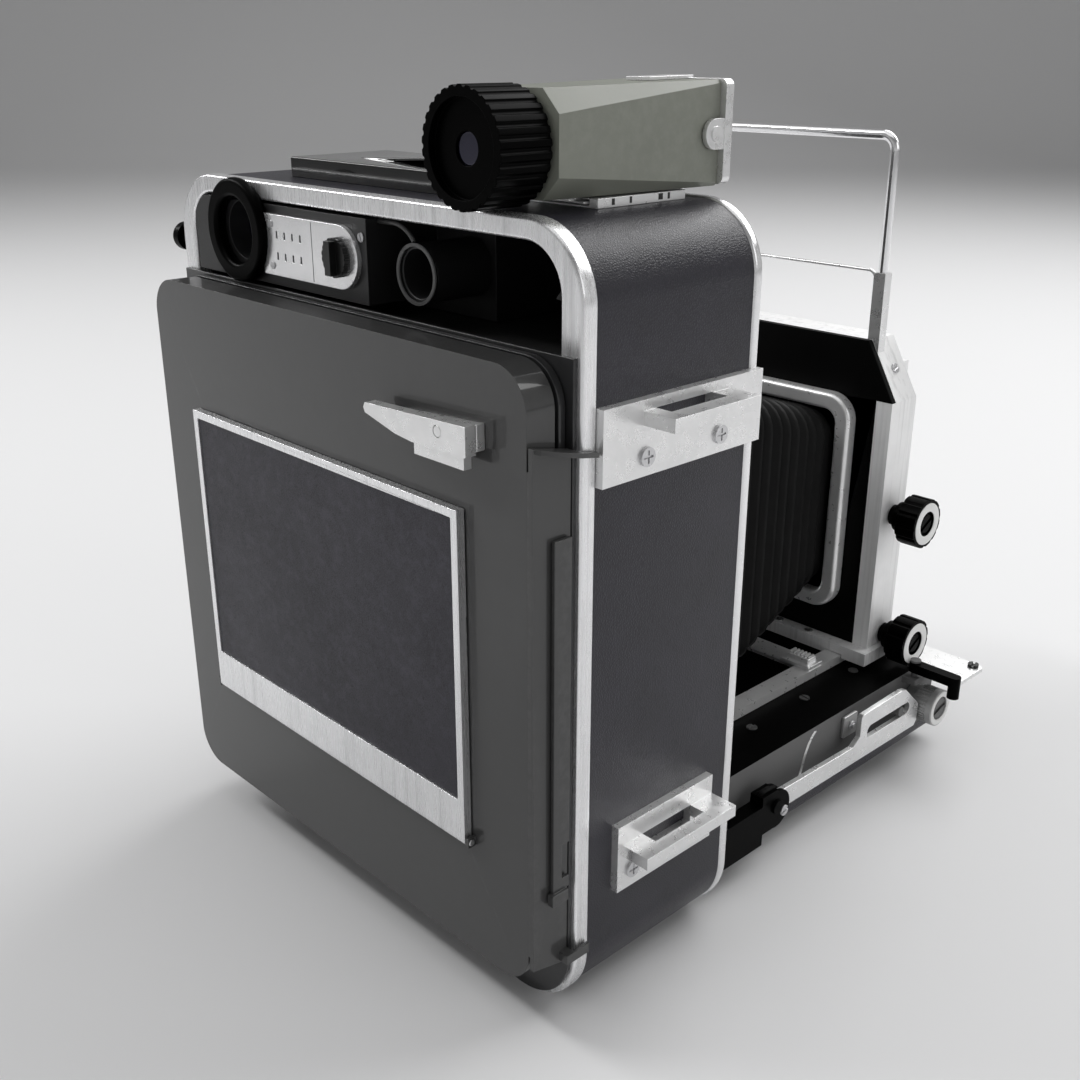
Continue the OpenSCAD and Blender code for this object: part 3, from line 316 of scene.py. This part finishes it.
FINISH = {
    "body_shell": "black_matt", "body_leather": "leather", "rear_rim": "chrome_z",
    "front_rim": "chrome", "strap_brackets": "silver_paint", "bracket_screws": "steel",
    "strap_lug": "rubber", "rangefinder_housing": "black_recess", "eyepiece_cup": "rubber",
    "rangefinder_glass": "glass", "scale_plate": "chrome", "selector_knob": "black_satin",
    "lamp_tube": "black_recess", "lamp_ring": "lamp_grey", "top_cover": "black_gloss",
    "finder_shoe": "chrome_cast", "finder_foot": "chrome_cast", "finder_housing": "green",
    "finder_front_plate": "silver_paint", "finder_front_glass": "glass",
    "finder_eye_ring": "rubber", "finder_eye_lens": "glass", "back_frame": "enamel_dark",
    "back_panel": "enamel", "side_cover": "enamel", "lock_slide": "enamel",
    "ground_glass": "screen", "lid_hinge_pin": "steel", "lid_frame": "chrome_z",
    "lid_leather": "lid_leather", "latch_base": "silver_paint", "latch_lever": "silver_paint",
    "hinge_arms": "rubber", "bed_hinge_pin": "steel", "bed_casting": "deck",
    "bed_leather": "leather", "bed_struts": "silver_paint", "bed_end_plate": "silver_paint",
    "track_lock_lever": "rubber", "focus_track": "chrome_cast", "standard_stops": "chrome_cast",
    "focus_shaft": "steel", "focus_knobs": "knob_grey", "bellows": "bellows",
    "standard_frame": "silver_cast", "standard_plate": "plate_black",
    "bellows_frame": "chrome_cast", "upper_lock_knob": "rubber", "lower_lock_knob": "rubber",
    "hoop_posts": "silver_paint", "wire_hoop": "wire", "lens_board": "black_satin",
    "shutter_case": "black_satin", "lens_barrel": "black_satin", "lens_glass": "glass",
    "aperture_ring": "chrome", "speed_ring": "chrome", "cocking_lever": "wire",
    "release_lever": "wire",
}

# Bevel widths in mm; nodes left out take 0.35
BEVEL = {
    "back_panel": 0.9, "back_frame": 0.35, "lid_frame": 0.5, "rear_rim": 0.9, "front_rim": 0.9,
    "strap_brackets": 0.6, "bracket_screws": 0.15, "finder_housing": 0.5, "top_cover": 0.5,
    "scale_plate": 0.25, "selector_knob": 0.25, "lamp_ring": 0.0, "finder_eye_ring": 0.3,
    "bellows": 0.0, "bed_struts": 0.4, "standard_frame": 0.6, "bellows_frame": 1.6,
    "speed_ring": 0.2, "wire_hoop": 0.0, "hoop_posts": 0.2, "focus_shaft": 0.12,
    "eyepiece_cup": 1.4, "lens_glass": 0.1, "finder_front_plate": 0.6, "latch_lever": 0.8,
    "body_leather": 0.15, "lid_leather": 0.25, "body_shell": 0.4, "lens_board": 0.8,
    "shutter_case": 0.7, "lens_barrel": 0.6, "side_cover": 0.3, "lock_slide": 0.2,
}


def finish_edges(obj, width):
    """Welds the CAD facets together, rounds the sharp edges and shades the rest smooth. width is in mm."""
    w = obj.modifiers.new("weld", "WELD")
    w.merge_threshold = 2e-6
    d = obj.modifiers.new("flat", "DECIMATE")
    d.decimate_type = "DISSOLVE"
    d.angle_limit = math.radians(0.6)
    if width:
        b = obj.modifiers.new("bevel", "BEVEL")
        b.width = width * MM
        b.segments = 3
        b.limit_method = "ANGLE"
        b.angle_limit = math.radians(32)
        b.use_clamp_overlap = True
        b.miter_outer = "MITER_ARC"
    obj.data.shade_smooth()
    n = obj.modifiers.new("normals", "WEIGHTED_NORMAL")
    n.keep_sharp = False


def dress(obj, material):
    obj.data.materials.clear()
    obj.data.materials.append(material)


for name, obj in nodes.items():
    dress(obj, M[FINISH[name]])
    finish_edges(obj, BEVEL.get(name, 0.35))

# ---------------------------------------------------------------- pieces of the visual model's own


def mesh_piece(name, bm, material, body, bevel=0.0):
    """Finished mesh in metres that moves with a body."""
    me = bpy.data.meshes.new(name)
    bm.normal_update()
    bm.to_mesh(me)
    bm.free()
    o = bpy.data.objects.new(name, me)
    bpy.context.scene.collection.objects.link(o)
    me.materials.append(M[material])
    me.shade_smooth()
    if bevel:
        b = o.modifiers.new("bevel", "BEVEL")
        b.width = bevel * MM
        b.segments = 2
        b.limit_method = "ANGLE"
        b.angle_limit = math.radians(35)
    n = o.modifiers.new("normals", "WEIGHTED_NORMAL")
    n.keep_sharp = False
    if body:
        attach(o, body)
    return o


def turn_to(axis):
    """Rotation that takes +Z to the given direction."""
    return Vector((0, 0, 1)).rotation_difference(Vector(axis)).to_matrix().to_4x4()


def lathe(bm, profile, loc, axis, turns=40):
    """Solid of revolution about axis through loc; the profile is (radius, height) in mm."""
    place = Matrix.Translation(Vector(loc) * MM) @ turn_to(axis)
    rings = []
    for r, h in profile:
        if r < 1e-6:
            rings.append([bm.verts.new(place @ Vector((0, 0, h * MM)))])
        else:
            rings.append([bm.verts.new(place @ Vector((r * MM * math.cos(2 * math.pi * i / turns),
                r * MM * math.sin(2 * math.pi * i / turns), h * MM))) for i in range(turns)])
    for a, b in zip(rings, rings[1:]):
        for i in range(turns):
            j = (i + 1) % turns
            quad = [a[i % len(a)], a[j % len(a)], b[j % len(b)], b[i % len(b)]]
            quad = list(dict.fromkeys(quad))
            if len(quad) > 2:
                bm.faces.new(quad)


def prism(bm, points, h, loc, axis, spin=0.0):
    """Outline of (x, y) mm points raised by h along axis at loc."""
    place = Matrix.Translation(Vector(loc) * MM) @ turn_to(axis) @ Matrix.Rotation(spin, 4, "Z")
    low = [bm.verts.new(place @ Vector((x * MM, y * MM, 0))) for x, y in points]
    top = [bm.verts.new(place @ Vector((x * MM, y * MM, h * MM))) for x, y in points]
    bm.faces.new(list(reversed(low)))
    bm.faces.new(top)
    for i in range(len(points)):
        j = (i + 1) % len(points)
        bm.faces.new((low[i], low[j], top[j], top[i]))


def slotted_screw(name, loc, axis, r, h, body, material="steel", spin=0.3):
    """Screw head of radius r and height h in two halves, with a driver slot between them."""
    gap = 0.22
    bm = bmesh.new()
    for side in (0, math.pi):
        half = [(gap * r, -r * 0.97), (gap * r, r * 0.97)]
        half += [(r * math.cos(a), r * math.sin(a)) for a in
            [math.radians(74 - 148 * i / 14) for i in range(15)]]
        prism(bm, list(reversed(half)), h, loc, axis, spin + side)
    lathe(bm, [(0, 0), (r * 0.98, 0), (r * 0.98, h * 0.35), (0, h * 0.35)], loc, axis, 32)
    return mesh_piece(name, bm, material, body, 0.12)


def face_ring(name, loc, axis, r0, r1, h, body, material="white_ring"):
    """Flat ring with chamfered edges, from radius r0 to r1 and h high."""
    bm = bmesh.new()
    edge = h * 0.4
    section = [(r0, 0), (r1, 0), (r1, h - edge), (r1 - edge, h), (r0 + edge, h), (r0, h - edge), (r0, 0)]
    lathe(bm, section, loc, axis, 64)
    return mesh_piece(name, bm, material, body)


def bar(bm, lo, hi):
    """Axis-aligned block from lo to hi, in mm."""
    size = Vector(hi) - Vector(lo)
    m = Matrix.Translation((Vector(lo) + size / 2) * MM) @ Matrix.Diagonal((*(size * MM), 1))
    bmesh.ops.create_cube(bm, size=1, matrix=m)


def side_tag(s):
    """Ending of a piece's name: l on the +X side, r on the -X side."""
    return "l" if s > 0 else "r"


def mm_box(node):
    """Corners of a CAD node's box, in mm."""
    lo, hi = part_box(node)
    return lo / MM, hi / MM


# Bellows: one pleated sheath in three lengths
def rounded_outline(w, z0, z1, c):
    """Rounded rectangle w wide from z0 to z1, with corners of radius c, as (x, z) points."""
    per = 7
    pts = []
    for cx, cz, a0 in ((w / 2 - c, z0 + c, -90), (w / 2 - c, z1 - c, 0), (-w / 2 + c, z1 - c, 90),
            (-w / 2 + c, z0 + c, 180)):
        for i in range(per):
            a = math.radians(a0 + 90 * i / (per - 1))
            pts.append((cx + c * math.cos(a), cz + c * math.sin(a)))
    out = []
    for i, p in enumerate(pts):
        q = pts[(i + 1) % len(pts)]
        out.append(p)
        if i % per == per - 1:
            out += [(p[0] + (q[0] - p[0]) * k / 8, p[1] + (q[1] - p[1]) * k / 8) for k in range(1, 8)]
    return out


bel_lo, bel_hi = mm_box("bellows")
BEL_Y0, BEL_Y1 = bel_lo.y, bel_hi.y
PLEATS = 19
PLEAT_DEPTH = 3.4
PITCH = (BEL_Y1 - BEL_Y0) / PLEATS
# Width, lower edge and upper edge at the front end, then at the rear end
FRONT_END, REAR_END = (74.5, 62, 130), (137.5, 41.5, 174.5)
rng = random.Random(7)
fold_shift = [rng.uniform(-0.5, 0.5) for _ in range(40)]


def bellows_ring(y):
    """Outline of the sheath at y, with its pleat's depth taken in."""
    t = (y - BEL_Y0) / (BEL_Y1 - BEL_Y0)
    phase = (y - BEL_Y0) / PITCH
    k = int(phase)
    saw = abs((phase - k) * 2 - 1)
    rise = (1 - saw) ** 0.85
    d = -PLEAT_DEPTH * (1 - rise)
    w, z0, z1 = (a + (b - a) * t for a, b in zip(FRONT_END, REAR_END))
    w += 2 * d
    z0 -= d
    z1 += d
    sag = 0.5 * math.sin(k * 1.7)
    wave = 0.35 * (1 - abs(saw - 0.5))
    return [(x, y + wave * math.sin(x * 0.11 + fold_shift[k] * 6), z + sag * 0.4)
        for x, z in rounded_outline(w, z0, z1, 11 + 0.8 * d)]


def bellows_length(name, y_front, y_rear):
    """One length of the sheath, from y_front to y_rear."""
    bm = bmesh.new()
    steps = max(6, round((y_rear - y_front) / PITCH * 8))
    rings = []
    for i in range(steps + 1):
        y = y_front + (y_rear - y_front) * i / steps
        rings.append([bm.verts.new(Vector(p) * MM) for p in bellows_ring(y)])
    for lower, upper in zip(rings, rings[1:]):
        n = len(lower)
        for i in range(n):
            j = (i + 1) % n
            bm.faces.new((lower[i], upper[i], upper[j], lower[j]))
    o = mesh_piece(name, bm, "bellows", None)
    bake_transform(o)
    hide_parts("bellows")


JOIN1, JOIN2 = BEL_Y1 - 7 * PITCH, BEL_Y1 - 11 * PITCH
bellows_length("bellows_rear", JOIN1, BEL_Y1 - 0.01)
bellows_length("bellows_middle", JOIN2, JOIN1)
bellows_length("bellows_front", BEL_Y0 + 0.01, JOIN2)

# Lock knobs and focusing knobs: pale face rings and slotted centres
for node, body in (("upper_lock_knob", "upper_knob"), ("lower_lock_knob", "lower_knob")):
    lo, hi = mm_box(node)
    y, z = (lo.y + hi.y) / 2, (lo.z + hi.z) / 2
    face_ring(node + "_face", (lo.x + 0.02, y, z), (-1, 0, 0), 4.7, 7.9, 0.3, body)
    slotted_screw(node + "_centre", (lo.x + 0.98, y, z), (-1, 0, 0), 3.4, 0.8, body, "rubber", 0.5)
lo, hi = mm_box("focus_knobs")
knob_y, knob_z = (lo.y + hi.y) / 2, (lo.z + hi.z) / 2
tooth = [(-0.22, 6.7), (0.22, 6.7), (0.16, 7.12), (-0.16, 7.12)]
for s, x in ((-1, lo.x), (1, hi.x)):
    tag = "left" if s > 0 else "right"
    face_ring("focus_face_" + tag, (x - s * 0.02, knob_y, knob_z), (s, 0, 0), 4.7, 6.7, 0.3, "focus_drive")
    slotted_screw("focus_centre_" + tag, (x - s * 1.0, knob_y, knob_z), (s, 0, 0), 4.2, 0.9, "focus_drive",
        "lamp_grey")
    bm = bmesh.new()
    for i in range(36):
        a = 2 * math.pi * i / 36
        prism(bm, tooth, 4.5, (x - s * 7.2, knob_y, knob_z), (s, 0, 0), a)
    mesh_piece("focus_milling_" + tag, bm, "knob_grey", "focus_drive")

# Bed: deck screws, side tabs with their screws, and a raised curved bead on each side wall
DECK_Z = 33.5
WALL_X = 73
TAB_X = 74.6
bead = [(-93 - 8 * i / 14, 17 + 15 * i / 14 + 3.2 * math.sin(math.pi * i / 14)) for i in range(15)]
for s in (-1, 1):
    tag = side_tag(s)
    for i, y in enumerate((-84.5, -115.7, -147.3)):
        slotted_screw(f"deck_screw_{i}_{tag}", (s * 58, y, DECK_Z), (0, 0, 1), 1.9, 0.5, "bed",
            "lamp_grey", 0.4 + i)
    bm = bmesh.new()
    bar(bm, (min(s * WALL_X, s * TAB_X), -126, 22.6), (max(s * WALL_X, s * TAB_X), -117.6, 31))
    mesh_piece("side_tab_" + tag, bm, "knob_grey", "bed", 0.5)
    slotted_screw("side_tab_screw_" + tag, (s * TAB_X, -121.8, 27), (s, 0, 0), 1.7, 0.7, "bed")
    bm = bmesh.new()
    for (y0, z0), (y1, z1) in zip(bead, bead[1:]):
        # Outer edge on the wall, crest, inner edge on the wall
        strip = [(0, y0, z0), (0, y1, z1), (0.6, y1 - 0.5, z1), (0.6, y0 - 0.5, z0), (0, y1 - 1.1, z1),
            (0, y0 - 1.1, z0)]
        v = [bm.verts.new(Vector((s * (WALL_X + out), y, z)) * MM) for out, y, z in strip]
        bm.faces.new((v[0], v[1], v[2], v[3]))
        bm.faces.new((v[3], v[2], v[4], v[5]))
    bmesh.ops.remove_doubles(bm, verts=bm.verts, dist=1e-6)
    mesh_piece("side_bead_" + tag, bm, "chrome_cast", "bed")

# Bright pivot screws on the hinge arms, and black end screws on the front plate's wings
lo, hi = mm_box("hinge_arms")
wing_lo, wing_hi = mm_box("bed_end_plate")
for s in (-1, 1):
    tag = side_tag(s)
    slotted_screw("pivot_screw_" + tag, (s * (hi.x - 0.02), -67.2, 20.8), (s, 0, 0), 1.9, 0.6, "body")
    corner = (s * (wing_hi.x - 3.2), wing_lo.y + 3.4, wing_hi.z)
    slotted_screw("wing_screw_" + tag, corner, (0, 0, 1), 2.0, 1.2, "bed", "black_satin")

# Toothed clamp strips on the stops
lo, hi = mm_box("standard_stops")
for s in (-1, 1):
    bm = bmesh.new()
    for i in range(6):
        x = s * 44.1 - 4 + i * 1.6
        bar(bm, (x - 0.4, -134.6, hi.z - 0.02), (x + 0.4, -130.8, hi.z + 0.9))
    mesh_piece("stop_teeth_" + side_tag(s), bm, "chrome_cast", "track", 0.15)

# Standard: screws on the cut corners and across the foot
FOOT_Z = 41
for s in (-1, 1):
    tag = side_tag(s)
    slotted_screw("corner_screw_" + tag, (s * 53.02, -163, 148.02), (s * 0.868, 0, 0.496), 1.8, 0.7,
        "standard")
    for i, x in enumerate((34, 20)):
        slotted_screw(f"foot_screw_{tag}{i}", (s * x, -151.3, FOOT_Z), (0, 0, 1), 1.6, 0.5, "standard",
            "steel", 0.7 + i)

# Rangefinder: filled index marks, seam across the plate, recess screw
bm = bmesh.new()
PLATE_Y = 36.3
for z in (199.4, 205.4):
    for i in range(4):
        x = 20.05 + 4 * i
        bar(bm, (x, PLATE_Y - 0.05, z - 0.95), (x + 0.7, PLATE_Y + 0.12, z + 0.95))
bar(bm, (14.4, PLATE_Y + 0.25, 194.2), (14.65, PLATE_Y + 0.33, 210.6))
mesh_piece("index_marks", bm, "slot_dark", "body")
slotted_screw("recess_screw", (-6.9, 35, 208.5), (0, 1, 0), 1.3, 0.4, "body", "steel")
for i, (x, z) in enumerate(((35.2, 208.3), (35.2, 196.5))):
    slotted_screw(f"plate_screw_{i}", (x, PLATE_Y + 0.3, z), (0, 1, 0), 1.1, 0.35, "body",
        "steel", i)

# Finder shoe: painted shade, thin dark bars on the rail's sides standing in for the gaps between its
# segments
lo, hi = mm_box("finder_shoe")
bm = bmesh.new()
for s in (-1, 1):
    x = lo.x if s < 0 else hi.x
    for y, w in ((5.6, 1.0), (-0.8, 0.8), (-11.5, 1.6), (-15.0, 0.8)):
        bar(bm, (min(x, x + s * 0.06), y - w, 219.75), (max(x, x + s * 0.06), y, 221.3))
mesh_piece("shoe_gap_shade", bm, "slot_dark", "body")

# Lens: filled ticks on the aperture ring, retaining rings around the front element, lens board screws
LENS_Z = 96
bm = bmesh.new()
for i in range(9):
    outer = 28.6 if i % 2 else 29.6
    prism(bm, [(-0.2, 26.5), (0.2, 26.5), (0.2, outer), (-0.2, outer)], 0.08, (0, -193.45, LENS_Z),
        (0, -1, 0), math.radians(-64 + 16 * i))
mesh_piece("aperture_ticks", bm, "slot_dark", "aperture")
lo, hi = mm_box("lens_barrel")
for i, (r0, r1, dy) in enumerate(((16.1, 17.4, 1.4), (18.4, 20.4, 0.0))):
    face_ring(f"barrel_ring_{i}", (0, lo.y + dy, LENS_Z), (0, -1, 0), r0, r1, 0.5, "lens",
        "black_satin")
for i, (x, z) in enumerate(((42.5, 38), (-42.5, 38), (-42.5, -38), (42.5, -38))):
    slotted_screw(f"board_screw_{i}", (x, -173.2, LENS_Z + z), (0, -1, 0), 1.6, 0.5, "lens",
        "steel", 0.4 * i)

# ---------------------------------------------------------------- floor, light and camera


def stage_floor():
    """Pale floor that curves up into a backdrop far behind the object."""
    bm = bmesh.new()
    cam_dir = Vector((0.675, -0.641, 0)).normalized()
    side = Vector((-cam_dir.y, cam_dir.x, 0))
    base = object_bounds()[0].z
    near, reach, bend = -3.0, 9.0, 2.6
    rows = []
    for i in range(41):
        d = near + reach * i / 40
        z = 0.0 if d < bend else 0.55 * (d - bend) ** 2
        middle = cam_dir * d + Vector((0, 0, base + z))
        rows.append([bm.verts.new(middle + side * s) for s in (-9, -3, 3, 9)])
    for a, b in zip(rows, rows[1:]):
        for k in range(3):
            bm.faces.new((a[k], a[k + 1], b[k + 1], b[k]))
    me = bpy.data.meshes.new("studio_floor")
    bm.to_mesh(me)
    me.shade_smooth()
    o = bpy.data.objects.new("studio_floor", me)
    bpy.context.scene.collection.objects.link(o)
    g = Graph("studio_floor")
    g.set("Base Color", (0.74, 0.74, 0.745))
    g.set("Roughness", 0.62)
    g.set("Specular IOR Level", 0.25)
    o.data.materials.append(g.mat)
    o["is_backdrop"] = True


stage_floor()


def area(name, loc, target, size, power, roll=0):
    """Rectangular light at loc facing target, turned by roll degrees about its own axis."""
    d = bpy.data.lights.new(name, "AREA")
    d.shape = "RECTANGLE"
    d.size, d.size_y = size
    d.energy = power
    o = bpy.data.objects.new(name, d)
    bpy.context.scene.collection.objects.link(o)
    o.location = loc
    o.rotation_mode = "QUATERNION"
    facing = (Vector(loc) - Vector(target)).to_track_quat("Z", "Y")
    o.rotation_quaternion = facing @ Quaternion((0, 0, 1), math.radians(roll))
    return o


area("overhead", (0.3, 0.3, 1.9), (0.05, 0.05, 0.1), (2.4, 2.4), 14)
area("front_top", (-0.15, -1.3, 1.35), (0, 0, 0.1), (1.8, 1.0), 24)
area("edge_strip", (1.24, 0.62, 1.2), (0, 0, 0.1), (1.3, 0.17), 12, 50)
area("right_soft", (-1.8, -0.5, 0.9), (0, -0.1, 0.1), (1.4, 1.0), 5)

world = bpy.data.worlds.new("studio")
bpy.context.scene.world = world
world.use_nodes = True
wt = world.node_tree
sky = wt.nodes["Background"]
sky.inputs[0].default_value = (1, 1, 1, 1)
# Darker overhead than at the horizon
split = wt.nodes.new("ShaderNodeSeparateXYZ")
fade = wt.nodes.new("ShaderNodeMapRange")
wt.links.new(wt.nodes.new("ShaderNodeTexCoord").outputs["Generated"], split.inputs[0])
wt.links.new(split.outputs["Z"], fade.inputs["Value"])
for key, v in (("From Min", 0.0), ("From Max", 0.6), ("To Min", 0.5), ("To Max", 0.16)):
    fade.inputs[key].default_value = v
wt.links.new(fade.outputs[0], sky.inputs[1])

cam_data = bpy.data.cameras.new("photo_view")
cam_data.sensor_width = 36
cam_data.lens = 41.78
cam_data.clip_start = 0.01
cam_data.clip_end = 50
cam = bpy.data.objects.new("photo_view", cam_data)
bpy.context.scene.collection.objects.link(cam)
cam.location = (-0.28614, 0.2346, 0.25527)
cam.rotation_mode = "QUATERNION"
cam.rotation_quaternion = Vector((0.675, -0.641, -0.365)).to_track_quat("-Z", "Y")
bpy.context.scene.camera = cam
bpy.context.scene.view_settings.view_transform = "Standard"

lo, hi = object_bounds()
